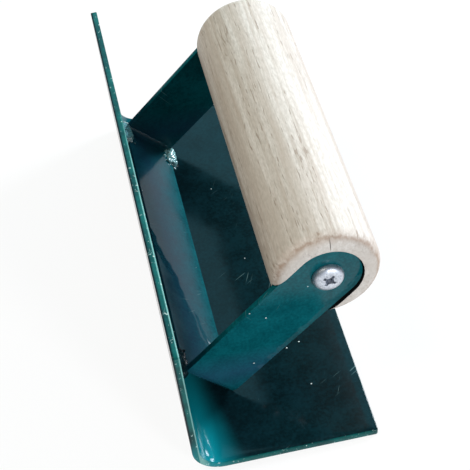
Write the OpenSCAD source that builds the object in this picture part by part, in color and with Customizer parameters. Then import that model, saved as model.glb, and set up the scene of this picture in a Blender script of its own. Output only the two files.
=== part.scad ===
// Hand edger for concrete: a bent steel blade, a bent strip bracket welded
// across its inside corner, and a turned wooden handle screwed between the arms.
// Frame: the plate lies flat on Z = 0, the blade runs along Y, the wall rises
// on the -X side, and the origin is the middle of the plate's underside.

/* [Blade] */
// Length of the blade along the edge that it forms
blade_length = 150; // [130:5:200]
// Width of the plate from the outside of the bend to its free edge
plate_width = 52.5; // [45:1:70]
// Height of the wall above the plate's underside
wall_height = 50; // [45:1:65]
// Thickness of the blade's sheet
blade_sheet = 2; // [1.5:0.1:3]
// Outside radius of the bend between plate and wall
bend_r = 9; // [7:0.5:12]
// Degrees that the wall leans out past square
splay = 2.56; // [0:0.01:5]

/* [Bracket] */
// Width of the strip where it lies across the corner
strip_w = 18.2; // [16:0.2:22]
// Thickness of the strip
strip_sheet = 1.8; // [1.5:0.1:2.5]
// Distance between the outer faces of the two arms
bracket_span = 108.5; // [100:0.5:120]
// How far the bracket's middle stands behind the blade's middle
bracket_shift = 1.5; // [-3:0.1:3]
// Inside radius of the bends between the web and the arms
strip_bend = 2; // [1:0.5:4]
// Distance from the back of the web to the handle's axis
arm_reach = 51; // [46:1:60]
// Radius of the arms' round tips
tip_r = 9.7; // [9.2:0.1:11]
// Radius of the screw hole in each tip
hole_r = 2.3; // [2.2:0.1:2.6]

/* [Handle] */
// Diameter of the handle
handle_d = 30.5; // [28:0.5:36]
// Radius of the rounding at the handle's ends
handle_round = 4; // [2:0.5:5]
// How far the wood stands out past the arms at each end
end_proud = 1; // [0.5:0.1:3]
// Gap round an arm's tip in its slot
slot_gap = 0.3; // [0.1:0.1:1]

/* [Screws] */
// Diameter over the thread
thread_d = 4.2; // [3.5:0.1:4.2]
// Diameter at the root of the thread
root_d = 3; // [2.4:0.1:3.4]
// Pitch of the thread
thread_pitch = 1.8; // [1.2:0.1:2]
// Length under the head
screw_len = 32; // [20:1:38]
// Diameter of the pan head
head_d = 8.8; // [7.6:0.1:9.5]
// Height of the pan head
head_h = 2.1; // [1.8:0.1:3]
// Span of the cross recess
recess_w = 4.6; // [3.5:0.1:5]
// Depth of the cross recess
recess_depth = 1.5; // [1:0.1:1.7]

/* [Weld beads] */
// Radius of a bead
bead_r = 2.2; // [1.5:0.1:3]
// Length of a bead between the centres of its ends
bead_len = 6; // [3:0.5:10]
// How far a bead's centre stands off the seam
bead_off = 0.8; // [0.4:0.1:1.5]

/* [Hidden] */
$fn = 96;

paint = "#14595c";
bare_wood = "#c9bfb0";
zinc = "#b8bcc8";

// The web lies at 45 degrees: one corner on the plate, the other on the wall.
web_angle = 45;
wall_length = (wall_height - bend_r + bend_r * sin(splay)) / cos(splay);
web_run = strip_w * cos(web_angle);
wall_seam_z = blade_sheet + web_run;
wall_seam_x = bend_r - (bend_r - blade_sheet + (wall_seam_z - bend_r) * sin(splay)) / cos(splay);
web_x = wall_seam_x + web_run / 2 - plate_width / 2;
web_z = blade_sheet + web_run / 2;

// An arm's sides end this far inside its round tip.
side_tuck = 0.01;
strip_outer_bend = strip_bend + strip_sheet;

handle_r = handle_d / 2;
handle_len = bracket_span + 2 * end_proud;
slot_depth = strip_sheet + end_proud;
slot_r = tip_r + slot_gap;

// The thread only touches the walls of its pilot hole.
pilot_clear = 0.05;
pilot_r = thread_d / 2 + pilot_clear;
pilot_depth = screw_len - strip_sheet + 1;
point_len = 5;
thread_start = 1.2;
thread_turns = floor((screw_len - point_len - thread_start) / thread_pitch);
head_round = 1.7;
recess_arm = 1.1;
recess_core_r = 1.2;

// Angle from the seam to a bead's centre, in the bracket's frame.
bead_angle = 67.5;
bead_inset = 1.2;

// The bracket's frame: local Z runs up the arms, local X across the strip.
module bracket_frame() {
    translate([web_x, bracket_shift, web_z]) rotate([0, web_angle, 0]) children();
}

// Moves along an arm's screw axis to its outer face; end is -1 front, +1 rear.
module at_arm_face(end) {
    bracket_frame()
        translate([0, end * bracket_span / 2, arm_reach])
            rotate([-end * 90, 0, 0])
                children();
}

module blade_section() {
    translate([bend_r, 0])
        square([plate_width - bend_r, blade_sheet]);
    translate([bend_r, bend_r]) {
        difference() {
            circle(bend_r);
            circle(bend_r - blade_sheet);
            translate([0, -2 * bend_r])
                square(4 * bend_r);
            rotate(splay)
                translate([-2 * bend_r, 0])
                    square(4 * bend_r);
        }
        rotate(splay)
            translate([-bend_r, 0])
                square([blade_sheet, wall_length]);
    }
}

module blade() {
    color(paint)
        translate([-plate_width / 2, blade_length / 2, 0])
            rotate([90, 0, 0])
                linear_extrude(blade_length)
                    blade_section();
}

// A bar section with square top corners and round bottom ones.
module cradle(width, height, r) {
    translate([-width / 2, r])
        square([width, height - r]);
    translate([r - width / 2, 0])
        square([width - 2 * r, height]);
    for (side = [-1, 1])
        translate([side * (width / 2 - r), r])
            circle(r);
}

module strip_section() {
    top = arm_reach + tip_r;
    difference() {
        cradle(bracket_span, top, strip_outer_bend);
        translate([0, strip_sheet])
            cradle(bracket_span - 2 * strip_sheet, top, strip_bend);
    }
}

// Outline of the strip seen along the blade: sides that taper out to a round tip.
module arm_outline() {
    side_x = tip_r - side_tuck;
    polygon([[-strip_w / 2, 0], [strip_w / 2, 0], [side_x, arm_reach], [-side_x, arm_reach]]);
    translate([0, arm_reach])
        circle(tip_r);
}

module handle_bracket() {
    color(paint)
        bracket_frame()
            difference() {
                intersection() {
                    rotate([90, 0, 90])
                        linear_extrude(4 * tip_r, center = true)
                            strip_section();
                    rotate([90, 0, 0])
                        linear_extrude(2 * bracket_span, center = true)
                            arm_outline();
                }
                translate([0, 0, arm_reach])
                    rotate([90, 0, 0])
                        cylinder(h = 2 * bracket_span, r = hole_r, center = true);
            }
}

// Half outline of the turned handle, from its axis outwards.
module handle_half() {
    square([handle_r - handle_round, handle_len]);
    translate([0, handle_round])
        square([handle_r, handle_len - 2 * handle_round]);
    for (y = [handle_round, handle_len - handle_round])
        translate([handle_r - handle_round, y])
            circle(handle_round);
}

// Slot cut in a handle end for an arm's tip, open towards the web.
module tip_slot() {
    translate([0, 0, -slot_depth]) {
        cylinder(h = 2 * slot_depth, r = slot_r);
        translate([-slot_r, -2 * handle_r, 0])
            cube([2 * slot_r, 2 * handle_r, 2 * slot_depth]);
    }
}

module handle() {
    color(bare_wood)
        difference() {
            bracket_frame()
                translate([0, handle_len / 2, arm_reach])
                    rotate([90, 0, 0])
                        rotate_extrude()
                            intersection() {
                                handle_half();
                                square([handle_r, handle_len]);
                            }
            for (end = [-1, 1])
                at_arm_face(end) {
                    translate([0, 0, end_proud])
                        rotate(end < 0 ? 0 : 180)
                            tip_slot();
                    translate([0, 0, -strip_sheet - pilot_depth])
                        cylinder(h = pilot_depth + strip_sheet, r = pilot_r);
                }
        }
}

module pan_head() {
    rotate_extrude()
        intersection() {
            square([head_d / 2, head_h]);
            union() {
                square([head_d / 2, head_h - head_round]);
                translate([head_d / 2 - head_round, head_h - head_round])
                    circle(head_round);
                square([head_d / 2 - head_round, head_h]);
            }
        }
}

module cross_recess() {
    translate([0, 0, head_h - recess_depth]) {
        cylinder(h = 2 * recess_depth, r = recess_core_r);
        for (turn = [0, 90])
            rotate(turn)
                translate([-recess_w / 2, -recess_arm / 2, 0])
                    cube([recess_w, recess_arm, 2 * recess_depth]);
    }
}

// Shank with one ridge per turn of thread and a plain point.
module threaded_shank() {
    ridges = [
        for (i = [0 : thread_turns - 1])
            let (y = thread_start + i * thread_pitch)
                each [[root_d / 2, -y], [thread_d / 2, -y - thread_pitch / 2]]
    ];
    rotate_extrude()
        polygon([[0, 0], [root_d / 2, 0], each ridges, [root_d / 2, point_len - screw_len], [0, -screw_len]]);
}

module wood_screw(end) {
    color(zinc)
        at_arm_face(end) {
            difference() {
                pan_head();
                cross_recess();
            }
            threaded_shank();
        }
}

module screw_front() {
    wood_screw(-1);
}

module screw_rear() {
    wood_screw(1);
}

// Round-ended bar along Y.
module capsule(r, length) {
    rotate([90, 0, 0])
        cylinder(h = length, r = r, center = true);
    for (end = [-1, 1])
        translate([0, end * length / 2, 0])
            sphere(r);
}

// Bead in a corner of the bracket's foot; side is -1 at the wall, +1 at the plate.
module weld_bead(end, side) {
    bead_x = side * (strip_w / 2 + bead_off * cos(bead_angle));
    bead_y = end * (bracket_span - bead_len - 2 * bead_inset) / 2;
    color(paint)
        difference() {
            bracket_frame()
                translate([bead_x, bead_y, bead_off * sin(bead_angle)])
                    capsule(bead_r, bead_len);
            blade();
            handle_bracket();
        }
}

module weld_front_wall() {
    weld_bead(-1, -1);
}

module weld_front_plate() {
    weld_bead(-1, 1);
}

module weld_rear_wall() {
    weld_bead(1, -1);
}

module weld_rear_plate() {
    weld_bead(1, 1);
}

blade();
handle_bracket();
handle();
screw_front();
screw_rear();
weld_front_wall();
weld_front_plate();
weld_rear_wall();
weld_rear_plate();
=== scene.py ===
import math

import bmesh
import bpy
from mathutils import Matrix, Vector


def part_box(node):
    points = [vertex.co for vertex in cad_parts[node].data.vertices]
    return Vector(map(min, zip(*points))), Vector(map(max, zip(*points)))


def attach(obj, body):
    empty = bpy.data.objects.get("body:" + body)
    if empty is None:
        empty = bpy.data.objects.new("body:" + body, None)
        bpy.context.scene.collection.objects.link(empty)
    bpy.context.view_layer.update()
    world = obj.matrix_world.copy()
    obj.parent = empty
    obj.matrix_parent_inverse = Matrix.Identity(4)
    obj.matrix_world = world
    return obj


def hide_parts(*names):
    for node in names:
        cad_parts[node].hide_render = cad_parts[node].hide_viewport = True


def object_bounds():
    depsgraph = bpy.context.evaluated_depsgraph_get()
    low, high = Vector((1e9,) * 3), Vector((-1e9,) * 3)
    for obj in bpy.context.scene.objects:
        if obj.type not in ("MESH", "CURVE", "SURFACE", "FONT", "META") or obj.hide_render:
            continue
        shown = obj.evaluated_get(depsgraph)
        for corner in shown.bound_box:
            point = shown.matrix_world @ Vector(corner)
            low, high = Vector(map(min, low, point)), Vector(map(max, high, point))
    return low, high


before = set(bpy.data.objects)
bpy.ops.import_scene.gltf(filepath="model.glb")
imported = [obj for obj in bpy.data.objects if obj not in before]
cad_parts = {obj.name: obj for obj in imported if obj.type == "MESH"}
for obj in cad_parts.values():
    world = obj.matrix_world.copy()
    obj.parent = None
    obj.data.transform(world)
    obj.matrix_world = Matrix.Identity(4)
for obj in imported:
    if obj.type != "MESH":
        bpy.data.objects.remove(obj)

cad_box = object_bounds()


# ---------------------------------------------------------------- blade
# The blade is 2 mm mild steel sheet, sheared to length and folded once on a press brake.
# It is dipped in green gloss enamel after the bracket is welded on, and drained on edge,
# so the paint is thin on the sheared edges and lies thick in the fold's front corner. Its green is
# painted darker than the bracket's, as shade, and the bright teal along the fold is a painted highlight.
mm = 0.001
sheet = 2 * mm
bend_outer = 9 * mm
plate_width = 52.5 * mm
wall_height = 50 * mm
wall_lean = math.radians(2.56)
blade_low, blade_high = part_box("blade")
bend_x = blade_high.x - plate_width + bend_outer
wall_in = Vector((math.cos(wall_lean), 0, math.sin(wall_lean)))
wall_way = Vector((-math.sin(wall_lean), 0, math.cos(wall_lean)))
wall_run = (wall_height - bend_outer + bend_outer * math.sin(wall_lean)) / math.cos(wall_lean)
# A point this near to a line or face counts as on it.
touch = 0.01 * mm


def select(kind, wanted):
    """Selects the verts, edges or faces of the piece in edit mode whose middle passes the test."""
    bpy.ops.mesh.select_mode(type=kind)
    bpy.ops.mesh.select_all(action="DESELECT")
    mesh = bmesh.from_edit_mesh(bpy.context.object.data)
    for part in {"VERT": mesh.verts, "EDGE": mesh.edges, "FACE": mesh.faces}[kind]:
        corners = [part] if kind == "VERT" else part.verts
        if wanted(sum((corner.co for corner in corners), Vector()) / len(corners)):
            part.select_set(True)
    mesh.select_flush_mode()
    bmesh.update_edit_mesh(bpy.context.object.data)


def extrude(way):
    """Pulls the selection out along a vector."""
    bpy.ops.mesh.extrude_region_move(TRANSFORM_OT_translate={"value": tuple(way)})


def put_modifier(kind, **settings):
    """Adds a modifier to the active piece and applies it."""
    bpy.ops.object.modifier_add(type=kind)
    modifier = bpy.context.object.modifiers[-1]
    for name, value in settings.items():
        setattr(modifier, name, value)
    bpy.ops.object.modifier_apply(modifier=modifier.name)


def close_up(gap=0.001 * mm):
    """In edit mode: merges doubles, then turns every face outwards."""
    bpy.ops.mesh.select_all(action="SELECT")
    bpy.ops.mesh.remove_doubles(threshold=gap)
    bpy.ops.mesh.normals_make_consistent(inside=False)


bpy.ops.object.select_all(action="DESELECT")
bpy.ops.mesh.primitive_grid_add(
    x_subdivisions=1, y_subdivisions=60, size=1,
    location=(blade_high.x, 0, sheet / 2), rotation=(0, math.radians(90), 0))
blade = bpy.context.object
blade.name = blade.data.name = "folded_blade"
blade.scale = (sheet, blade_high.y - blade_low.y, 1)
bpy.ops.object.transform_apply(location=True, rotation=True, scale=True)
bpy.ops.object.mode_set(mode="EDIT")
bpy.ops.mesh.select_all(action="SELECT")
plate_steps = 16
for step in range(plate_steps):
    extrude(Vector((bend_x - blade_high.x, 0, 0)) / plate_steps)
bpy.ops.mesh.spin(
    steps=20, angle=wall_lean - math.radians(90), center=(bend_x, 0, bend_outer), axis=(0, 1, 0))
wall_steps = 15
for step in range(wall_steps):
    extrude(wall_way * wall_run / wall_steps)
close_up()
# The sheared corners are broken by hand with a file.
corner_break = 0.7 * mm
wall_top = wall_height - 0.2 * mm
select("EDGE", lambda p: abs(p.y) > blade_high.y - touch
       and (p.x > blade_high.x - touch or p.z > wall_top))
bpy.ops.mesh.bevel(offset=corner_break, segments=4, affect="EDGES")
bpy.ops.object.mode_set(mode="OBJECT")
# The dipped coat rounds the sheared edges.
coated_edge = 0.3 * mm
put_modifier("BEVEL", width=coated_edge, segments=3, limit_method="ANGLE", angle_limit=math.radians(50))
# Sheet is never quite flat: it rolls by a few hundredths of a millimetre.
roll = bpy.data.textures.new("sheet_roll", "CLOUDS")
roll.noise_scale = 34 * mm
roll_height = 0.12 * mm
put_modifier("DISPLACE", texture=roll, texture_coords="OBJECT", strength=roll_height, mid_level=0.5)
bpy.ops.object.shade_smooth_by_angle(angle=math.radians(35))


def linear(code):
    """An sRGB hex colour as a linear RGBA."""
    parts = [int(code[i:i + 2], 16) / 255 for i in (1, 3, 5)]
    return [part / 12.92 if part <= 0.04045 else ((part + 0.055) / 1.055) ** 2.4 for part in parts] + [1]


def node(tree, kind, inputs, out=0, **settings):
    """Adds a shader node. Inputs go by name or place, sockets are linked, and one output comes back."""
    made = tree.nodes.new("ShaderNode" + kind)
    for name, value in settings.items():
        setattr(made, name, value)
    for place, value in inputs.items():
        if isinstance(value, bpy.types.NodeSocket):
            tree.links.new(value, made.inputs[place])
        else:
            made.inputs[place].default_value = value
    return made.outputs[out]


def blank(name):
    """A new material: its node tree, its shader and the piece's own coordinates."""
    material = bpy.data.materials.new(name)
    material.use_nodes = True
    tree = material.node_tree
    return material, tree, tree.nodes["Principled BSDF"], node(tree, "TexCoord", {}, out="Object")


def enamel(name, body, thin_paint_and_glint_tone, seed, tint, tinted, edge_wear_and_highlight=None, bowed=None):
    """Green gloss alkyd enamel, dipped and air dried: a wet shine over dark green, with orange peel,
    slow clouds of thicker and thinner paint, dust nibs and a few hair scratches. On the rear weld beads
    the clouds' second tone is pale, a painted glint. tinted gives where the tint is laid: a painted
    highlight along the blade's fold, a painted reflection on the bracket's foot, a darker lower part on
    the rear beads. edge_wear_and_highlight gives the sheared edges' lighter tone, part paint drawn back
    from the edge and part painted light, and bowed how many mm the light sees the sheet stand out of
    true, which the mesh doesn't."""
    material, tree, shader, place = blank(name)
    here = node(tree, "Mapping", {"Vector": place, "Location": seed})
    cloud = node(tree, "TexNoise",
                 {"Vector": here, "Scale": 1 / (8 * mm), "Detail": 4, "Roughness": 0.65})
    # Pigment grain is far finer than this on real paint; 0.8 mm is the finest that shows.
    grain = node(tree, "TexNoise", {"Vector": here, "Scale": 1 / (0.8 * mm), "Detail": 2})
    grain = node(tree, "Math", {0: grain, 1: 2.2, 2: -1.1}, operation="MULTIPLY_ADD")
    shade = node(tree, "MapRange", {"Value": cloud, 1: 0.32, 2: 0.68})
    shade = node(tree, "Math", {0: shade, 1: grain}, operation="ADD", use_clamp=True)
    colour = node(tree, "Mix", {0: shade, 6: linear(body), 7: linear(thin_paint_and_glint_tone)}, out=2, data_type="RGBA")
    tint_mask = tinted(tree, place)
    colour = node(tree, "Mix", {0: tint_mask, 6: colour, 7: linear(tint)}, out=2, data_type="RGBA")
    # Dust nibs: one in seven cells of 4 mm holds a speck about 0.5 mm across, and every other cell
    # where the tint is laid. Their near-white is partly pale dust and partly a painted glint.
    nib_cell = 4 * mm
    nib_core = 0.16 * mm
    nib_rim = 0.3 * mm
    crowd = node(tree, "MapRange", {"Value": tint_mask, 1: 0, 2: 0.4, 3: 0.14, 4: 0.5})
    cells = node(tree, "TexVoronoi", {"Vector": here, "Scale": 1 / nib_cell}, out="Color")
    lucky = node(tree, "Math", {0: node(tree, "SeparateColor", {"Color": cells}), 1: crowd},
                 operation="LESS_THAN")
    nib_gap = node(tree, "TexVoronoi", {"Vector": here, "Scale": 1 / nib_cell}, out="Distance")
    nib = node(tree, "MapRange",
               {"Value": nib_gap, 1: nib_core / nib_cell, 2: nib_rim / nib_cell, 3: 1, 4: 0})
    nib = node(tree, "Math", {0: nib, 1: lucky}, operation="MULTIPLY")
    # Hair scratches 8 to 11 mm long, in patches; real ones are finer than the 0.3 mm that shows.
    scratch_width = 0.32 * mm
    patch = node(tree, "TexNoise", {"Vector": here, "Scale": 1 / (22 * mm), "Detail": 1})
    patch = node(tree, "MapRange", {"Value": patch, 1: 0.55, 2: 0.66})
    scratch = 0
    for turn, length in ((25, 11 * mm), (-50, 8 * mm)):
        lie = node(tree, "Mapping", {"Vector": here, "Rotation": (0.5, math.radians(turn), 0.6)})
        comb = node(tree, "Mapping",
                    {"Vector": lie, "Scale": (1 / scratch_width, 1 / length, 1 / length)})
        line = node(tree, "TexNoise", {"Vector": comb, "Scale": 1, "Detail": 0})
        line = node(tree, "MapRange", {"Value": line, 1: 0.8, 2: 0.85})
        scratch = node(tree, "Math", {0: line, 1: scratch}, operation="MAXIMUM")
    scratch = node(tree, "Math", {0: scratch, 1: patch}, operation="MULTIPLY")
    scratch_tone = node(tree, "Math", {0: scratch, 1: 0.35}, operation="MULTIPLY")
    for share, mark in ((scratch_tone, "#7FA6A6"), (nib, "#D0E0DE")):
        colour = node(tree, "Mix", {0: share, 6: colour, 7: linear(mark)}, out=2, data_type="RGBA")
    if edge_wear_and_highlight:
        # The edges' lighter tone, part paint drawn back and part painted light, is patchy, 9 mm to a
        # patch;
        # where the edge mask passes 1 a painted highlight is laid on it.
        edge = edge_wear_and_highlight(tree, place)
        patchy = node(tree, "TexNoise",
                      {"Vector": here, "Scale": 1 / (9 * mm), "Detail": 4, "Roughness": 0.7})
        patchy = node(tree, "MapRange", {"Value": patchy, 1: 0.4, 2: 0.6, 3: 0.4, 4: 1})
        edge_tone = node(tree, "Math", {0: edge, 1: patchy}, operation="MULTIPLY")
        colour = node(tree, "Mix", {0: edge_tone, 6: colour, 7: linear("#136561")},
                      out=2, data_type="RGBA")
        rim_highlight = node(tree, "MapRange", {"Value": edge, 1: 1, 2: 1.4, 3: 0, 4: 0.6})
        colour = node(tree, "Mix", {0: rim_highlight, 6: colour, 7: linear("#86B8B2")}, out=2, data_type="RGBA")
        # Chips about 1 mm long, down to bright steel.
        flake = node(tree, "TexNoise",
                     {"Vector": here, "Scale": 1 / (1.1 * mm), "Detail": 2, "Roughness": 0.7})
        flake = node(tree, "MapRange", {"Value": flake, 1: 0.64, 2: 0.69})
        chip = node(tree, "Math", {0: edge, 1: flake}, operation="MULTIPLY")
        colour = node(tree, "Mix", {0: chip, 6: colour, 7: linear("#B4CFCA")}, out=2, data_type="RGBA")
    # Orange peel of 1.3 mm, a few thousandths high, over slow sags of 12 mm.
    peel = node(tree, "TexNoise", {"Vector": here, "Scale": 1 / (1.3 * mm), "Detail": 2})
    sag = node(tree, "TexNoise", {"Vector": here, "Scale": 1 / (12 * mm), "Detail": 1})
    relief = node(tree, "Bump", {"Strength": 1, "Distance": 0.006 * mm, "Height": peel})
    relief = node(tree, "Bump", {"Strength": 1, "Distance": 0.1 * mm, "Height": sag, "Normal": relief})
    relief = node(tree, "Bump", {"Strength": 1, "Distance": 0.12 * mm, "Height": nib, "Normal": relief})
    if bowed:
        relief = node(tree, "Bump",
                      {"Strength": 1, "Distance": mm, "Height": bowed(tree, place), "Normal": relief})
    gloss = node(tree, "MapRange", {"Value": cloud, 1: 0.25, 2: 0.75, 3: 0.1, 4: 0.2})
    tree.links.new(relief, shader.inputs["Normal"])
    tree.links.new(colour, shader.inputs["Base Color"])
    tree.links.new(gloss, shader.inputs["Roughness"])
    shader.inputs["IOR"].default_value = 1.5
    # Lower than alkyd's own, so that the white table all round doesn't grey the paint.
    shader.inputs["Specular IOR Level"].default_value = 0.13
    return material


def blade_edges(tree, place):
    """The blade's sheared edges: a lighter tone, part paint drawn back and part painted light, most along
    the wall's top and ends, less round the plate. Above 1 it is a painted highlight on the wall's inner
    rim.
    """
    skin = 0.35 * mm
    cuts = [node(tree, "SeparateXYZ", {"Vector": place}, out=axis) for axis in (0, 1, 2)]
    cuts[1] = node(tree, "Math", {0: cuts[1]}, operation="ABSOLUTE")
    # The wall's top has a painted highlight along its inner rim, brightest in front, and is still dark at
    # its outer one.
    # depth runs from -bend_outer at the wall's outer face to sheet - bend_outer at its inner one.
    depth = node(tree, "VectorMath", {0: place, 1: (bend_x, 0, bend_outer)}, operation="SUBTRACT")
    depth = node(tree, "VectorMath", {0: depth, 1: wall_in}, out=1, operation="DOT_PRODUCT")
    outer = node(tree, "MapRange", {"Value": depth, 1: 0.3 * mm - bend_outer, 2: 0.8 * mm - bend_outer})
    along = node(tree, "SeparateXYZ", {"Vector": place}, out=1)
    rim_highlight = node(tree, "MapRange", {"Value": along, 1: -15 * mm, 2: 40 * mm, 3: 1.6, 4: 0.8})
    inner = node(tree, "MapRange", {"Value": depth, 1: 1.45 * mm - bend_outer, 2: 1.8 * mm - bend_outer,
                                    3: 0.75, 4: rim_highlight})
    across_top = node(tree, "Math", {0: outer, 1: inner}, operation="MULTIPLY")
    # The wall's ends take the same edge tone and painted rim highlight as its top, the plate's ends half
    # as much.
    wall_side = node(tree, "MapRange",
                     {"Value": cuts[0], 1: bend_x - 7 * mm, 2: bend_x - 3 * mm, 3: 1, 4: 0.45})
    across_end = node(tree, "Math", {0: across_top, 1: wall_side}, operation="MULTIPLY")
    edge = 0
    limits = (blade_high.x, blade_high.y, wall_height)
    for cut, limit, wear in zip(cuts, limits, (0.45, across_end, across_top)):
        near = node(tree, "MapRange",
                    {"Value": cut, 1: limit - skin, 2: limit - skin / 3, 3: 0, 4: wear})
        edge = node(tree, "Math", {0: near, 1: edge}, operation="MAXIMUM")
    return edge


def fold_painted_highlight(tree, place):
    """A painted highlight along the fold in bright teal, widest and strongest at its front end. It goes by
    place alone, so the fold's outside takes the tint too."""
    fold_highlight_middle = (bend_x - 5 * mm, 0, 4 * mm)
    front_width = 7.5 * mm
    back_width = 4.5 * mm
    along = node(tree, "SeparateXYZ", {"Vector": place}, out=1)
    fold = node(tree, "VectorMath", {0: place, 1: fold_highlight_middle}, operation="SUBTRACT")
    fold = node(tree, "VectorMath", {0: fold, 1: (1, 0, 1)}, operation="MULTIPLY")
    across = node(tree, "VectorMath", {0: fold}, out=1, operation="LENGTH")
    width = node(tree, "MapRange",
                 {"Value": along, 1: blade_low.y, 2: blade_low.y + 26 * mm, 3: front_width, 4: back_width})
    share = node(tree, "Math", {0: across, 1: width}, operation="DIVIDE")
    near = node(tree, "MapRange", {"Value": share, 1: 0.15, 2: 1.65, 3: 1, 4: 0},
                interpolation_type="SMOOTHSTEP")
    fade = node(tree, "MapRange",
                {"Value": along, 1: blade_low.y + 12 * mm, 2: blade_low.y + 36 * mm, 3: 1, 4: 0.3})
    return node(tree, "Math", {0: near, 1: fade}, operation="MULTIPLY")


# The blade's green is painted darker than the bracket's from the same dip: painted shade.
blade.data.materials.append(enamel("dipped_green_enamel_blade_painted_shade", "#07191D", "#0B262C", (0, 0, 0),
                                   "#07858F", fold_painted_highlight, blade_edges))
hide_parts("blade")
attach(blade, "root")

# The paint that ran down the fold stopped as a thick tear at its front end.
run_angle = math.radians(38)
run_back = 3.4 * mm
bend_inner = bend_outer - sheet
run_seat = Vector((bend_x - bend_inner * math.sin(run_angle), blade_low.y + run_back,
                   bend_outer - bend_inner * math.cos(run_angle)))
bpy.ops.object.select_all(action="DESELECT")
bpy.ops.mesh.primitive_uv_sphere_add(segments=32, ring_count=16, radius=1, location=(0, 0, 0))
paint_run = bpy.context.object
paint_run.name = paint_run.data.name = "paint_run"
bpy.ops.object.mode_set(mode="EDIT")
# One end is drawn out to a tail that runs back along the fold.
tail_step = 0.45
for pull, width in ((0.3, 0.85), (0.55, 0.7), (0.8, 0.5)):
    select("VERT", lambda p: p.y > pull)
    bpy.ops.transform.resize(value=(width, 1, width), center_override=(0, 0, 0), orient_type="GLOBAL")
    bpy.ops.transform.translate(value=(0, tail_step, 0))
bpy.ops.object.mode_set(mode="OBJECT")
# Half its width, half its length before the tail, and how far it stands up.
run_size = (1.9 * mm, 2.4 * mm, 0.32 * mm)
paint_run.scale = run_size
paint_run.rotation_euler = (0, run_angle, 0)
paint_run.location = run_seat
bpy.ops.object.transform_apply(location=True, rotation=True, scale=True)
run_ripple = 0.1 * mm
put_modifier("DISPLACE", texture=roll, texture_coords="OBJECT", strength=run_ripple, mid_level=0.5)
bpy.ops.object.shade_smooth()
paint_run.data.materials.append(blade.data.materials[0])
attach(paint_run, "root")


# ---------------------------------------------------------------- bracket
# The bracket is a strip of 1.8 mm mild steel with both ends cut round and drilled, bent up
# twice over a 2 mm former. It is laid across the fold at 45 degrees and welded at its corners.
strip = 1.8 * mm
strip_width = 18.2 * mm
bend_in = 2 * mm
bend_out = bend_in + strip
arm_reach = 51 * mm
tip_radius = 9.7 * mm
hole_radius = 2.3 * mm
bracket_low, bracket_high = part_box("handle_bracket")
half_span = (bracket_high.y - bracket_low.y) / 2
bracket_mid = (bracket_high.y + bracket_low.y) / 2
# The web's two back corners touch the plate and the wall, so its back stands over the fold.
web_tilt = math.radians(45)
web_run = strip_width * math.cos(web_tilt)
web_rise = sheet + web_run / 2
wall_in_reach = bend_outer - sheet + (sheet + web_run - bend_outer) * math.sin(wall_lean)
wall_touch = bend_outer - wall_in_reach / math.cos(wall_lean)
web_x = blade_high.x - plate_width + wall_touch + web_run / 2
web_place = Matrix.Translation((web_x, bracket_mid, web_rise)) @ Matrix.Rotation(web_tilt, 4, "Y")


def settle(piece, place):
    """Moves a finished piece from where it was made to its place. Its object stays at the origin."""
    bpy.ops.object.select_all(action="DESELECT")
    piece.select_set(True)
    bpy.context.view_layer.objects.active = piece
    piece.matrix_world = place @ piece.matrix_world
    bpy.ops.object.transform_apply(location=True, rotation=True, scale=True)


bpy.ops.object.select_all(action="DESELECT")
bpy.ops.mesh.primitive_circle_add(
    vertices=64, radius=tip_radius,
    location=(0, -half_span, arm_reach), rotation=(math.radians(90), 0, 0))
bracket = bpy.context.object
bracket.name = bracket.data.name = "bent_strip_bracket"
bpy.ops.object.transform_apply(location=True, rotation=True, scale=True)
bpy.ops.object.mode_set(mode="EDIT")
bpy.ops.mesh.primitive_circle_add(
    vertices=64, radius=hole_radius,
    location=(0, -half_span, arm_reach), rotation=(math.radians(90), 0, 0))
bpy.ops.mesh.select_all(action="SELECT")
bpy.ops.mesh.bridge_edge_loops()
bpy.ops.mesh.subdivide(number_cuts=1)
# The tip's lower half is drawn down to the bend line, narrowing to the strip's own width.
select("EDGE", lambda p: math.hypot(p.x, p.z - arm_reach) > tip_radius * 0.99 and p.z < arm_reach)
taper = (strip_width / 2 + (tip_radius - strip_width / 2) * bend_out / arm_reach) / tip_radius
bpy.ops.mesh.extrude_region_move()
bpy.ops.transform.resize(
    value=(taper, 1, 0), center_override=(0, -half_span, bend_out), orient_type="GLOBAL")
select("EDGE", lambda p: p.z < bend_out + touch)
bpy.ops.mesh.spin(
    steps=12, angle=math.radians(-90), center=(0, -half_span + bend_out, bend_out), axis=(1, 0, 0))
select("EDGE", lambda p: p.y > -half_span + bend_out - touch and p.z < touch)
web_steps = 8
for step in range(web_steps):
    extrude(Vector((0, half_span - bend_out, 0)) / web_steps)
bpy.ops.object.mode_set(mode="OBJECT")
put_modifier("MIRROR", use_axis=(False, True, False), use_clip=True, merge_threshold=touch)
bpy.ops.object.mode_set(mode="EDIT")
close_up(0.005 * mm)
bpy.ops.object.mode_set(mode="OBJECT")
put_modifier("SOLIDIFY", thickness=strip, offset=-1, use_even_offset=True)
strip_edge = 0.2 * mm
put_modifier("BEVEL", width=strip_edge, segments=2, limit_method="ANGLE", angle_limit=math.radians(60))
bpy.ops.object.shade_smooth_by_angle(angle=math.radians(35))
settle(bracket, web_place)


def foot_band(tree, place):
    """A band 4 to 21 mm up, strongest near 12 mm. On the bracket's foot it lays a blue-grey painted
    reflection of the pale room; on the rear weld beads it darkens their lower part.
    """
    height = node(tree, "SeparateXYZ", {"Vector": place}, out=2)
    low = node(tree, "MapRange", {"Value": height, 1: 4 * mm, 2: 12 * mm, 3: 0, 4: 0.4})
    high = node(tree, "MapRange", {"Value": height, 1: 12 * mm, 2: 21 * mm, 3: 1, 4: 0})
    return node(tree, "Math", {0: low, 1: high}, operation="MULTIPLY")


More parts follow.
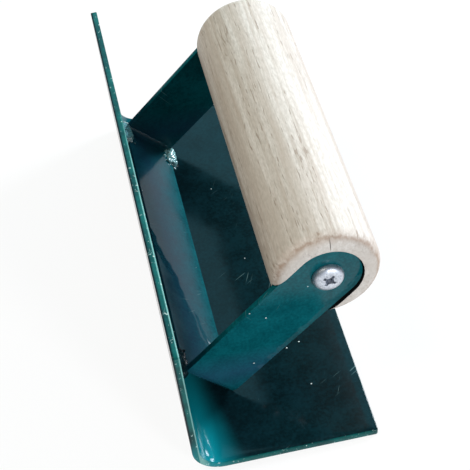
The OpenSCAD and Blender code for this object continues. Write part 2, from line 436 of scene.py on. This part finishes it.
def web_bow(tree, place):
    """Shades the web's front half, by its wall side, as if it leant 7 degrees over to the plate.
    It is relief in the finish only: the mesh stays flat."""
    lie = node(tree, "VectorMath", {0: place, 1: (web_x, bracket_mid, web_rise)}, operation="SUBTRACT")
    down_web = (math.cos(web_tilt), 0, -math.sin(web_tilt))
    across = node(tree, "VectorMath", {0: lie, 1: down_web}, out=1, operation="DOT_PRODUCT")
    along = node(tree, "SeparateXYZ", {"Vector": lie}, out=1)
    ripple = node(tree, "TexNoise", {"Vector": place, "Scale": 1 / (7 * mm), "Detail": 1})
    reach = node(tree, "Math", {0: across, 1: 3, 2: along}, operation="MULTIPLY_ADD")
    reach = node(tree, "Math", {0: ripple, 1: 16 * mm, 2: reach}, operation="MULTIPLY_ADD")
    share = node(tree, "MapRange", {"Value": reach, 1: -24 * mm, 2: -14 * mm, 3: 1, 4: 0},
                 interpolation_type="SMOOTHSTEP")
    # A slope of 0.12, which is near 7 degrees.
    slope = 0.12
    fall = node(tree, "Math", {0: across, 1: -slope / mm}, operation="MULTIPLY")
    return node(tree, "Math", {0: fall, 1: share}, operation="MULTIPLY")


# The blue-grey tint on the bracket's foot is a painted reflection.
bracket.data.materials.append(enamel("dipped_green_enamel_bracket_painted_reflection", "#04434A", "#08565D",
                                     (0.3, 0.1, 0.2), "#304E6E", foot_band, bowed=web_bow))
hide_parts("handle_bracket")
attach(bracket, "root")


# ---------------------------------------------------------------- weld beads
# Short arc-weld beads hold the four corners of the bracket's foot to the plate and the wall.
# They are left as laid, lumpy and ringed, with a little spatter, and dipped with the rest.
bead_radius = 2.2 * mm
bead_length = 6 * mm
bead_rings = 14
ring_swell = 1.09
cap_turns = (20, 40, 60, 80)
seam_angle = math.radians(67.5)
seam_lift = 0.8 * mm
end_gap = 1.2 * mm
wall_middle = Vector((bend_x, 0, bend_outer)) - wall_in * (bend_outer - sheet / 2)
lumps = bpy.data.textures.new("weld_lumps", "CLOUDS")
lumps.noise_scale = 1.3 * mm
lumps.noise_depth = 3


def laid_bead(name, middle, size):
    """A ringed bead with domed ends along Y, made in the bracket's own frame. size scales its girth."""
    bpy.ops.object.select_all(action="DESELECT")
    bpy.ops.mesh.primitive_cylinder_add(
        vertices=24, radius=bead_radius, depth=bead_length, end_fill_type="NGON",
        location=middle, rotation=(math.radians(90), 0, 0))
    made = bpy.context.object
    made.name = made.data.name = name
    bpy.ops.object.transform_apply(location=True, rotation=True, scale=True)
    bpy.ops.object.mode_set(mode="EDIT")
    for cap in (-1, 1):
        before = 0
        for turn in cap_turns:
            reach = bead_length / 2 + bead_radius * math.sin(math.radians(before))
            select("FACE", lambda p: cap * (p.y - middle.y) > reach - touch)
            rise = bead_radius * (math.sin(math.radians(turn)) - math.sin(math.radians(before)))
            girth = math.cos(math.radians(turn)) / math.cos(math.radians(before))
            extrude((0, cap * rise, 0))
            bpy.ops.transform.resize(value=(girth, 1, girth), center_override=middle,
                                     orient_type="GLOBAL")
            before = turn
    select("EDGE", lambda p: abs(p.y - middle.y) < touch)
    bpy.ops.mesh.subdivide_edgering(number_cuts=bead_rings, interpolation="LINEAR")
    for ring in range(1, bead_rings + 1, 2):
        ring_y = middle.y - bead_length / 2 + bead_length * ring / (bead_rings + 1)
        select("VERT", lambda p: abs(p.y - ring_y) < 2 * touch)
        bpy.ops.transform.resize(value=(ring_swell, 1, ring_swell), orient_type="GLOBAL",
                                 center_override=(middle.x, ring_y, middle.z))
    bpy.ops.mesh.select_all(action="SELECT")
    bpy.ops.transform.resize(value=(size, 1, size), center_override=middle, orient_type="GLOBAL")
    close_up()
    bpy.ops.object.mode_set(mode="OBJECT")
    put_modifier("SUBSURF", levels=1, render_levels=1)
    return made


def thrown_drops(made, middle, drops):
    """Adds half-sunk drops of spatter round a bead, each at (across, along, up, radius) in mm."""
    bpy.ops.object.mode_set(mode="EDIT")
    for across, along, up, radius in drops:
        bpy.ops.mesh.primitive_ico_sphere_add(
            subdivisions=3, radius=radius * mm, location=middle + Vector((across, along, up)) * mm)
        bpy.ops.transform.resize(value=(1.3, 1, 0.8))
    bpy.ops.object.mode_set(mode="OBJECT")


# On the rear beads the pale second tone is a painted glint.
bead_paint_painted_glints = enamel("thin_green_enamel_on_weld_painted_glints", "#12464C", "#8CBFBF", (0.5, 0.4, 0.1),
                    "#0A4048", foot_band)
# The rear beads' paint mirrors more than real paint does, so that their lumps glint.
bead_paint_painted_glints.node_tree.nodes["Principled BSDF"].inputs["Specular IOR Level"].default_value = 1.0
# side is -1 at the wall and +1 at the plate, end is -1 in front and +1 behind; then how many mm the
# bead stands in from its seat's middle, its girth, how lumpy it is, and its drops.
for node_name, side, end, inward, girth, rough, drops in (
        ("weld_front_wall", -1, -1, 0.0, 0.95, 0.7, ((1.6, 4.5, 1.2, 0.4), (2.4, 1.2, 0.6, 0.3))),
        ("weld_front_plate", 1, -1, 3.2, 0.72, 0.7, ((1.5, 2.5, -0.8, 0.35),)),
        ("weld_rear_wall", -1, 1, -0.6, 1.1, 0.8, ((2.2, -4.6, 1.4, 0.4), (3.4, -2.8, 0.9, 0.3))),
        ("weld_rear_plate", 1, 1, 0.6, 1.1, 1.9,
         ((-2.6, -1.0, 0.7, 0.8), (-1.6, -3.4, 1.2, 0.7), (-3.9, -2.2, 0.1, 0.6), (-4.6, 0.6, 0.1, 0.5),
          (0.9, -5.4, 0.6, 0.6), (2.4, -2.4, -0.9, 0.9), (-2.8, -5.2, 0.1, 0.45), (3.2, -4.6, -1.8, 0.5),
          (3.4, 0.2, -1.9, 0.8), (4.6, -1.6, -3.0, 0.5)))):
    middle = Vector((side * (strip_width / 2 + seam_lift * math.cos(seam_angle)),
                     end * (half_span - bead_length / 2 - end_gap - inward * mm),
                     seam_lift * math.sin(seam_angle)))
    bead = laid_bead("bead_" + node_name[5:], middle, girth)
    thrown_drops(bead, middle, drops)
    settle(bead, web_place)
    put_modifier("DISPLACE", texture=lumps, texture_coords="OBJECT", strength=rough * mm, mid_level=0.55)
    # What would stand beyond the middle of the sheet it is fused into is cut away.
    seat, way = ((0, 0, sheet / 2), (0, 0, 1)) if side > 0 else (wall_middle, wall_in)
    bpy.ops.object.mode_set(mode="EDIT")
    bpy.ops.mesh.select_all(action="SELECT")
    bpy.ops.mesh.bisect(plane_co=seat, plane_no=way, use_fill=True, clear_inner=True,
                        threshold=0.0001 * mm)
    close_up()
    bpy.ops.object.mode_set(mode="OBJECT")
    bpy.ops.object.shade_smooth_by_angle(angle=math.radians(60))
    bead.data.materials.append(bead_paint_painted_glints if end > 0 else blade.data.materials[0])
    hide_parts(node_name)
    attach(bead, "root")


# ---------------------------------------------------------------- handle
# The handle is a length of beech turned to a plain round bar, its ends rounded on the lathe
# and sanded, left bare. A round-bottomed slot is milled across each end to seat an arm's tip.
handle_radius = 15.25 * mm
end_round = 4 * mm
slot_clearance = 0.3 * mm
slot_overrun = 4 * mm
slot_radius = tip_radius + slot_clearance
raw_edge_width = 0.42 * mm
handle_low, handle_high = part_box("handle")
handle_x = (handle_low.x + handle_high.x) / 2
handle_z = (handle_low.z + handle_high.z) / 2
handle_y = (handle_low.y + handle_high.y) / 2
handle_length = handle_high.y - handle_low.y


def turned_beech(name, pale, dark, cover_tone=None):
    """Bare beech, turned and sanded: pale straw with a greyish cast, straight lengthwise grain,
    short dark pores in rows, matt. The end rounding has a rough brown tool line and greyer end grain.
    A cover_tone hides every mark under its own colour; the slots' near-black walls use it as painted
    shade."""
    material, tree, shader, place = blank(name)
    local = node(tree, "Mapping", {"Vector": place, "Location": (-handle_x, -handle_y, -handle_z)})
    # Growth bands 4 mm apart, long fibres 1.1 mm wide, short fibres 0.5 mm wide, and pores, dashes
    # 3 mm long that are drawn 0.4 mm wide so that they show. All run along the handle.
    grain = []
    for wide, long, deep, detail in (
            (4.5, 110, 9, 2), (1.1, 45, 1.1, 3), (0.5, 2.2, 0.5, 2), (0.45, 3.2, 0.45, 0)):
        squeeze = [1 / (size * mm) for size in (wide, long, deep)]
        lie = node(tree, "Mapping", {"Vector": local, "Scale": squeeze})
        grain.append(node(tree, "TexNoise",
                          {"Vector": lie, "Scale": 1, "Detail": detail, "Roughness": 0.6}))
    band, fibre, fuzz, pore = grain
    tone = node(tree, "MapRange", {"Value": band, 1: 0.36, 2: 0.64}, interpolation_type="SMOOTHSTEP")
    streak = node(tree, "MapRange", {"Value": fibre, 1: 0.42, 2: 0.7, 3: 0, 4: 0.5})
    speckle = node(tree, "MapRange", {"Value": fuzz, 1: 0.38, 2: 0.66, 3: 0, 4: 0.45})
    # The pores stand in rows along the growth bands' edges.
    row = node(tree, "Math", {0: band, 1: 0.5}, operation="SUBTRACT")
    row = node(tree, "Math", {0: row}, operation="ABSOLUTE")
    ring_line = node(tree, "MapRange", {"Value": row, 1: 0.003, 2: 0.018, 3: 0.24, 4: 0})
    row = node(tree, "MapRange", {"Value": row, 1: 0.012, 2: 0.04, 3: 1, 4: 0.12})
    pore = node(tree, "MapRange", {"Value": pore, 1: 0.6, 2: 0.7})
    pore = node(tree, "Math", {0: pore, 1: row}, operation="MULTIPLY")
    pore_tone = node(tree, "Math", {0: pore, 1: 0.42}, operation="MULTIPLY")
    colour = node(tree, "Mix", {0: tone, 6: linear(pale), 7: linear(dark)}, out=2, data_type="RGBA")
    for share, mark in ((streak, "#A5917F"), (speckle, "#A3978A"), (ring_line, "#8E7A66"),
                        (pore_tone, "#7D6957")):
        colour = node(tree, "Mix", {0: share, 6: colour, 7: linear(cover_tone or mark)},
                      out=2, data_type="RGBA")
    # The rounding's end grain is greyer, and a rough brown line stands half-way round it.
    reach = node(tree, "SeparateXYZ", {"Vector": local}, out=1)
    reach = node(tree, "Math", {0: reach}, operation="ABSOLUTE")
    round_start = handle_length / 2 - end_round
    end_grain = node(tree, "MapRange", {"Value": reach, 1: round_start + 2.4 * mm,
                                        2: round_start + 3.4 * mm, 3: 0, 4: 0.45})
    colour = node(tree, "Mix", {0: end_grain, 6: colour, 7: linear(cover_tone or "#C2BEB8")},
                  out=2, data_type="RGBA")
    wander = node(tree, "TexNoise", {"Vector": local, "Scale": 1 / (2.5 * mm), "Detail": 4})
    line_at = node(tree, "Math", {0: wander, 1: 2 * mm, 2: reach}, operation="MULTIPLY_ADD")
    off_line = node(tree, "Math", {0: line_at, 1: round_start + 3.9 * mm}, operation="SUBTRACT")
    off_line = node(tree, "Math", {0: off_line}, operation="ABSOLUTE")
    line = node(tree, "MapRange", {"Value": off_line, 1: 0.1 * mm, 2: 0.8 * mm, 3: 1, 4: 0})
    strength = node(tree, "MapRange", {"Value": wander, 1: 0.35, 2: 0.6, 3: 0.25, 4: 0.75})
    line = node(tree, "Math", {0: line, 1: strength}, operation="MULTIPLY")
    colour = node(tree, "Mix", {0: line, 6: colour, 7: linear(cover_tone or "#937B68")},
                  out=2, data_type="RGBA")
    # A drying check 0.3 mm wide stands over the front arm's tip. It is colour only, with no depth.
    check_middle = (-0.6 * mm, handle_length / 2, -12.4 * mm)
    check = node(tree, "Mapping", {"Vector": local, "Location": check_middle})
    check = node(tree, "VectorMath", {0: check, 1: (1 / (0.2 * mm), 1 / (3 * mm), 1 / (2.4 * mm))},
                 operation="MULTIPLY")
    check = node(tree, "VectorMath", {0: check}, out=1, operation="LENGTH")
    check = node(tree, "MapRange", {"Value": check, 1: 0.5, 2: 1, 3: 0.75, 4: 0})
    colour = node(tree, "Mix", {0: check, 6: colour, 7: linear("#3A2E26")}, out=2, data_type="RGBA")
    relief = node(tree, "Bump", {"Strength": 1, "Distance": 0.03 * mm, "Height": fibre})
    relief = node(tree, "Bump", {"Strength": 1, "Distance": 0.04 * mm, "Height": fuzz, "Normal": relief})
    relief = node(tree, "Bump", {"Strength": 1, "Distance": 0.05 * mm, "Height": pore, "Normal": relief},
                  invert=True)
    tree.links.new(relief, shader.inputs["Normal"])
    tree.links.new(colour, shader.inputs["Base Color"])
    shader.inputs["Roughness"].default_value = 0.62
    shader.inputs["Specular IOR Level"].default_value = 0.3
    return material


bare_wood = turned_beech("turned_bare_beech", "#D5CDC5", "#BFB4A9")
# The slots' walls are painted near-black: painted shade.
slot_painted_shade = turned_beech("milled_beech_slot_painted_shade", "#0D0C0B", "#080706", "#0B0A09")
# The broken rims' near-white is paler raw wood and a painted highlight.
raw_edge_painted_highlight = turned_beech("raw_beech_edge_painted_highlight", "#F4F1EA", "#E6E1D8")

bpy.ops.object.select_all(action="DESELECT")
bpy.ops.mesh.primitive_cylinder_add(
    vertices=128, radius=handle_radius, depth=handle_length, end_fill_type="NGON",
    location=(handle_x, handle_y, handle_z), rotation=(math.radians(90), 0, 0))
handle = bpy.context.object
handle.name = handle.data.name = "turned_handle"
handle.data.materials.append(bare_wood)
bpy.ops.object.transform_apply(location=True, rotation=True, scale=True)
bpy.ops.object.mode_set(mode="EDIT")
select("EDGE", lambda p: abs(p.y - handle_y) > handle_length / 2 - touch)
bpy.ops.mesh.bevel(offset=end_round, segments=10, affect="EDGES")
close_up()
bpy.ops.object.mode_set(mode="OBJECT")

slot_cutters = []
for end in (-1, 1):
    floor_y = end * (half_span - strip)
    outer_y = end * (half_span + slot_overrun)
    bpy.ops.object.select_all(action="DESELECT")
    bpy.ops.mesh.primitive_cylinder_add(
        vertices=96, radius=slot_radius, depth=abs(outer_y - floor_y), end_fill_type="NGON",
        location=(0, (outer_y + floor_y) / 2, arm_reach), rotation=(math.radians(90), 0, 0))
    cutter = bpy.context.object
    bpy.ops.object.transform_apply(location=True, rotation=True, scale=True)
    bpy.ops.object.mode_set(mode="EDIT")
    select("VERT", lambda p: p.z < arm_reach - touch)
    bpy.ops.transform.translate(value=(0, 0, -2 * handle_radius))
    bpy.ops.object.mode_set(mode="OBJECT")
    settle(cutter, web_place)
    # The cutter's near-black material passes to the slot walls it cuts, as painted shade.
    cutter.data.materials.append(slot_painted_shade)
    slot_cutters.append(cutter)
bpy.ops.object.select_all(action="DESELECT")
handle.select_set(True)
bpy.context.view_layer.objects.active = handle
for cutter in slot_cutters:
    put_modifier("BOOLEAN", object=cutter, operation="DIFFERENCE", solver="EXACT",
                 material_mode="TRANSFER")
    bpy.data.objects.remove(cutter)
# The slots' rims are broken, which leaves a paler, raw edge, painted near-white as a highlight.
handle.data.materials.append(raw_edge_painted_highlight)
put_modifier("BEVEL", width=raw_edge_width, segments=2, limit_method="ANGLE",
             angle_limit=math.radians(55), material=len(handle.data.materials) - 1)
bpy.ops.object.shade_smooth_by_angle(angle=math.radians(30))

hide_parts("handle")
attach(handle, "root")


# ---------------------------------------------------------------- screws
# Two zinc-plated pan-head wood screws with a cross recess, driven through the arms' tips
# into the end grain. The heads are cold formed, the thread is rolled, the recess worn.
head_radius = 4.4 * mm
head_height = 2.1 * mm
head_round = 1.7 * mm
shank_radius = 1.5 * mm
crest_radius = 2.1 * mm
pitch = 1.8 * mm
screw_length = 32 * mm
point_length = 5 * mm
thread_top = 1.2 * mm
# The head's faces lie closer than the sheet's, so what counts as touching is finer here.
fine_touch = 0.001 * mm


def zinc_plate(name, bright, dull_tone):
    """Bright zinc plate on steel: a cool white-grey metal, dulled and scuffed by the driver."""
    material, tree, shader, place = blank(name)
    # Dull patches of 0.9 mm, and driver scuffs drawn 0.35 mm wide so that they show.
    dull = node(tree, "TexNoise",
                {"Vector": place, "Scale": 1 / (0.9 * mm), "Detail": 3, "Roughness": 0.7})
    lie = node(tree, "Mapping", {"Vector": place, "Rotation": (0.4, 0.6, 0.3),
                                 "Scale": (1 / (0.35 * mm), 1 / (2.5 * mm), 1 / (0.5 * mm))})
    scuff = node(tree, "TexNoise", {"Vector": lie, "Scale": 1, "Detail": 1})
    scuff = node(tree, "MapRange", {"Value": scuff, 1: 0.58, 2: 0.72, 3: 0, 4: 0.6})
    tone = node(tree, "MapRange", {"Value": dull, 1: 0.35, 2: 0.7})
    colour = node(tree, "Mix", {0: tone, 6: linear(bright), 7: linear(dull_tone)},
                  out=2, data_type="RGBA")
    colour = node(tree, "Mix", {0: scuff, 6: colour, 7: linear("#6A707B")}, out=2, data_type="RGBA")
    tree.links.new(colour, shader.inputs["Base Color"])
    tree.links.new(node(tree, "MapRange", {"Value": dull, 1: 0.3, 2: 0.7, 3: 0.42, 4: 0.6}),
                   shader.inputs["Roughness"])
    tree.links.new(node(tree, "Bump", {"Strength": 1, "Distance": 0.03 * mm, "Height": dull}),
                   shader.inputs["Normal"])
    shader.inputs["Metallic"].default_value = 1
    return material


zinc = zinc_plate("bright_zinc_plate", "#DCE1E8", "#B4BAC5")
worn_zinc = zinc_plate("worn_dirty_zinc_in_recess", "#B4B9C2", "#6A707A")
bpy.ops.object.select_all(action="DESELECT")
bpy.ops.mesh.primitive_cylinder_add(
    vertices=48, radius=head_radius, depth=head_height - head_round, end_fill_type="NGON",
    location=(0, 0, (head_height - head_round) / 2))
screw = bpy.context.object
screw.name = screw.data.name = "screw_front_zinc"
screw.data.materials.append(zinc)
bpy.ops.object.transform_apply(location=True, rotation=True, scale=True)
bpy.ops.object.mode_set(mode="EDIT")
dome_steps = 8
spread = head_radius
level = head_height - head_round
for step in range(1, dome_steps + 1):
    select("FACE", lambda p: p.z > level - fine_touch)
    turn = math.radians(90 * step / dome_steps)
    next_spread = head_radius - head_round + head_round * math.cos(turn)
    next_level = head_height - head_round + head_round * math.sin(turn)
    extrude((0, 0, next_level - level))
    draw_in = next_spread / spread
    bpy.ops.transform.resize(value=(draw_in, draw_in, 1), center_override=(0, 0, 0))
    spread, level = next_spread, next_level
# The shank is drawn from the underside of the head down to the gimlet point.
select("FACE", lambda p: p.z < fine_touch)
bpy.ops.mesh.inset(thickness=head_radius - shank_radius, depth=0)
for drop, narrow in (
        (screw_length - point_length, 1), (point_length * 0.6, 0.55), (point_length * 0.4, 0.12)):
    extrude((0, 0, -drop))
    bpy.ops.transform.resize(value=(narrow, narrow, 1), center_override=(0, 0, 0))
close_up()
bpy.ops.object.mode_set(mode="OBJECT")

# The cross recess: two tapered blades and a tapered core, punched into the head.
recess_depth = 1.5 * mm
recess_span = 4.6 * mm
recess_width = 0.9 * mm
recess_overrun = 0.5 * mm
core_radius_low = 0.6 * mm
core_radius_high = 1.35 * mm
recess_parts = []
for turn in (0, 90):
    bpy.ops.object.select_all(action="DESELECT")
    bpy.ops.mesh.primitive_cube_add(
        size=1, scale=(recess_span, recess_width, recess_depth + recess_overrun),
        location=(0, 0, head_height + (recess_overrun - recess_depth) / 2),
        rotation=(0, 0, math.radians(turn)))
    punch = bpy.context.object
    bpy.ops.object.transform_apply(location=True, rotation=True, scale=True)
    bpy.ops.object.mode_set(mode="EDIT")
    select("FACE", lambda p: p.z < head_height - recess_depth + fine_touch)
    bpy.ops.transform.resize(value=(0.5, 0.5, 1), center_override=(0, 0, 0), orient_type="GLOBAL")
    bpy.ops.object.mode_set(mode="OBJECT")
    recess_parts.append(punch)
bpy.ops.object.select_all(action="DESELECT")
bpy.ops.mesh.primitive_cone_add(
    vertices=24, radius1=core_radius_low, radius2=core_radius_high, depth=recess_depth + recess_overrun,
    location=(0, 0, head_height + (recess_overrun - recess_depth) / 2))
bpy.ops.object.transform_apply(location=True, rotation=True, scale=True)
recess_parts.append(bpy.context.object)
bpy.ops.object.select_all(action="DESELECT")
screw.select_set(True)
bpy.context.view_layer.objects.active = screw
for punch in recess_parts:
    punch.data.materials.append(worn_zinc)
    put_modifier("BOOLEAN", object=punch, operation="DIFFERENCE", solver="EXACT",
                 material_mode="TRANSFER")
    bpy.data.objects.remove(punch)
head_edge = 0.12 * mm
put_modifier("BEVEL", width=head_edge, segments=2, limit_method="ANGLE", angle_limit=math.radians(50))

# The thread is one rolled ridge, a triangle swept down the shank, its root sunk in the shank.
root_radius = shank_radius - 0.2 * mm
ridge_half = 0.45 * mm
bpy.ops.object.select_all(action="DESELECT")
bpy.ops.mesh.primitive_circle_add(
    vertices=3, radius=1, location=(0, 0, 0), rotation=(math.radians(90), 0, 0))
thread = bpy.context.object
bpy.ops.object.transform_apply(location=True, rotation=True, scale=True)
ridge = ((root_radius, -thread_top + ridge_half), (root_radius, -thread_top - ridge_half),
         (crest_radius, -thread_top))
bpy.ops.object.mode_set(mode="EDIT")
for corner in range(3):
    spot = thread.data.vertices[corner].co.copy()
    select("VERT", lambda p: (p - spot).length < fine_touch)
    bpy.ops.transform.translate(value=tuple(Vector((ridge[corner][0], 0, ridge[corner][1])) - spot))
bpy.ops.object.mode_set(mode="OBJECT")
thread_turns = int((screw_length - point_length - thread_top) / pitch)
put_modifier("SCREW", angle=math.radians(360), steps=24, render_steps=24, screw_offset=-pitch,
             iterations=thread_turns, axis="Z", use_merge_vertices=False)
bpy.ops.object.mode_set(mode="EDIT")
bpy.ops.mesh.select_all(action="DESELECT")
bpy.ops.mesh.select_mode(type="EDGE")
bpy.ops.mesh.select_non_manifold()
bpy.ops.mesh.edge_face_add()
close_up()
bpy.ops.object.mode_set(mode="OBJECT")
bpy.ops.object.select_all(action="DESELECT")
thread.select_set(True)
screw.select_set(True)
bpy.context.view_layer.objects.active = screw
bpy.ops.object.join()
bpy.ops.object.shade_smooth_by_angle(angle=math.radians(35))

bpy.ops.object.select_all(action="DESELECT")
rear_screw = screw.copy()
rear_screw.data = screw.data.copy()
rear_screw.name = rear_screw.data.name = "screw_rear_zinc"
bpy.context.collection.objects.link(rear_screw)
front_turn = Matrix.Rotation(math.radians(90), 4, "X") @ Matrix.Rotation(math.radians(8), 4, "Z")
rear_turn = Matrix.Rotation(math.radians(-90), 4, "X") @ Matrix.Rotation(math.radians(35), 4, "Z")
settle(screw, web_place @ Matrix.Translation((0, -half_span, arm_reach)) @ front_turn)
settle(rear_screw, web_place @ Matrix.Translation((0, half_span, arm_reach)) @ rear_turn)

for piece, node_name in ((screw, "screw_front"), (rear_screw, "screw_rear")):
    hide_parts(node_name)
    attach(piece, "root")


# ---------------------------------------------------------------- studio
# The tool lies on a plain white table that gives off its own light. A key lamp stands at the right,
# a fill in front, a weak one tinted cyan behind and a soft warm one above, in a dim blue room.
bpy.ops.object.select_all(action="DESELECT")
bpy.ops.mesh.primitive_plane_add(size=40, location=(0, 0, 0))
table = bpy.context.object
table.name = "table"
paper, tree, shader, place = blank("matt_white_table")
shader.inputs["Base Color"].default_value = linear("#5A5A5A")
shader.inputs["Roughness"].default_value = 0.9
shader.inputs["Specular IOR Level"].default_value = 0.1
shader.inputs["Emission Color"].default_value = linear("#FFFFFF")
shader.inputs["Emission Strength"].default_value = 0.88
table.data.materials.append(paper)

middle = (cad_box[0] + cad_box[1]) / 2
for name, spot, size, power, tint in (
        ("side_key", (0.72, 0.40, 0.39), 0.3, 11.5, "#EFF6FF"),
        ("front", (0.33, -0.77, 0.35), 0.2, 5.6, "#F4F9FF"),
        ("back", (0.09, 0.56, 0.60), 0.6, 1.8, "#A0ECFF"),
        ("top", (-0.40, 0.05, 0.70), 0.5, 4.6, "#FFF7E6")):
    lamp = bpy.data.lights.new(name, "AREA")
    lamp.shape = "DISK"
    lamp.size = size
    lamp.energy = power
    lamp.color = linear(tint)[:3]
    lamp_object = bpy.data.objects.new(name, lamp)
    bpy.context.scene.collection.objects.link(lamp_object)
    lamp_object.location = spot
    lamp_object.rotation_euler = (middle - Vector(spot)).to_track_quat("-Z", "Y").to_euler()

world = bpy.data.worlds.new("pale_room")
bpy.context.scene.world = world
world.use_nodes = True
world.node_tree.nodes["Background"].inputs["Color"].default_value = linear("#A4BCDC")
world.node_tree.nodes["Background"].inputs["Strength"].default_value = 0.12
bpy.context.scene.view_settings.view_transform = "Standard"

camera = bpy.data.cameras.new("view")
camera.lens = 105.28
camera.sensor_width = 36
camera.clip_start = 0.01
camera.clip_end = 60
camera_object = bpy.data.objects.new("view", camera)
bpy.context.scene.collection.objects.link(camera_object)
azimuth, elevation, tilt = math.radians(8.631), math.radians(45.567), math.radians(-4.790)
aim = Vector((math.sin(azimuth) * math.cos(elevation), math.cos(azimuth) * math.cos(elevation),
              -math.sin(elevation)))
right = Vector((math.cos(azimuth), -math.sin(azimuth), 0))
upward = right.cross(aim)
right, upward = (right * math.cos(tilt) + upward * math.sin(tilt),
                 upward * math.cos(tilt) - right * math.sin(tilt))
camera_object.matrix_world = Matrix((
    (right.x, upward.x, -aim.x, -0.04284),
    (right.y, upward.y, -aim.y, -0.29461),
    (right.z, upward.z, -aim.z, 0.31617),
    (0, 0, 0, 1)))
bpy.context.scene.camera = camera_object
